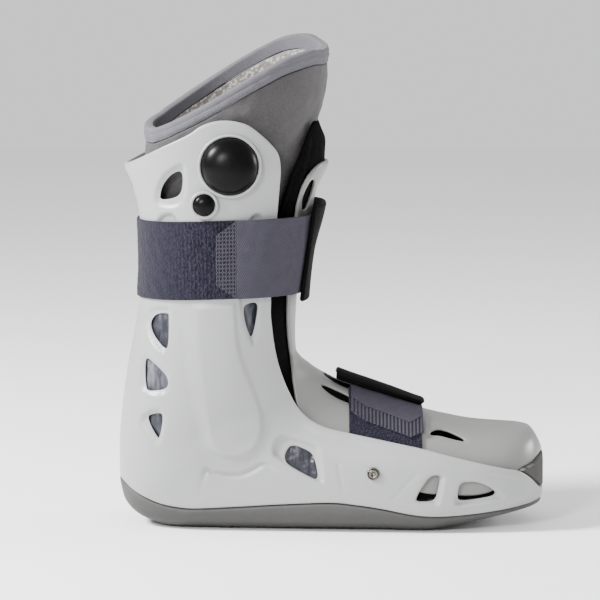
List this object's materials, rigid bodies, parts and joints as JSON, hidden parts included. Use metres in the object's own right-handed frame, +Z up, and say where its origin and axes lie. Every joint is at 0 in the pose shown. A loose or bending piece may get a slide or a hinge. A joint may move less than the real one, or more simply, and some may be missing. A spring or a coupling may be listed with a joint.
{
  "type": "medical walking boot",
  "caption": "Short walking boot: plastic shell on a rocker sole, soft liner, front panel held by hook-and-loop straps, inflation bulb and release button.",
  "frame": {"origin": "on the floor, on the sole's flat face, under the middle of the shaft, in the boot's middle plane", "axes": "+X to the toe, +Y to the boot's left, +Z up"},
  "size_m": [0.2967, 0.1371, 0.3411],
  "materials": {
    "shell_plastic": "satin, light grey",
    "panel_plastic": "satin, warm light grey",
    "sole_rubber": "matt, mid grey",
    "liner_fabric": "brushed knit, warm grey",
    "binding_fabric": "stretch binding, lavender grey",
    "bed_foam": "matt, dark taupe",
    "guard_foam": "ribbed, brown grey",
    "air_film": "shiny, bluish grey",
    "black_foam": "matt, black",
    "black_plastic": "matt, black",
    "loop_fabric": "fuzzy loops, dark purple grey",
    "woven_fabric": "woven webbing, lavender grey",
    "black_rubber": "smooth, black",
    "steel": "stainless"
  },
  "bodies": {
    "boot": {"outsole": "sole_rubber", "base_shell": "shell_plastic", "front_panel": "panel_plastic", "front_pad": "black_foam", "liner": "liner_fabric", "liner_binding": "binding_fabric", "footbed": "bed_foam", "toe_guard": "guard_foam", "shin_loop_band": "loop_fabric", "shin_closure_strap": "woven_fabric", "shin_hook_tab": "woven_fabric", "shin_strap_guide": "black_plastic", "foot_closure_strap": "woven_fabric", "foot_hook_tab": "woven_fabric", "foot_strap_guide": "black_plastic", "foot_loop_band_right": "loop_fabric", "foot_loop_band_left": "loop_fabric", "inflation_bulb": "black_rubber", "bulb_ring": "shell_plastic", "button_ring": "shell_plastic", "air_cell_right": "air_film", "air_cell_left": "air_film", "anchor_screw_right": "steel", "anchor_screw_left": "steel"},
    "release_button": {"release_button": "black_rubber"}
  },
  "joints": [
    {"name": "button_press", "type": "slide", "parent": "boot", "child": "release_button", "axis": [0, 1, 0], "range_m": [0, 0.0015], "stiffness_N_per_m": 1200}
  ]
}
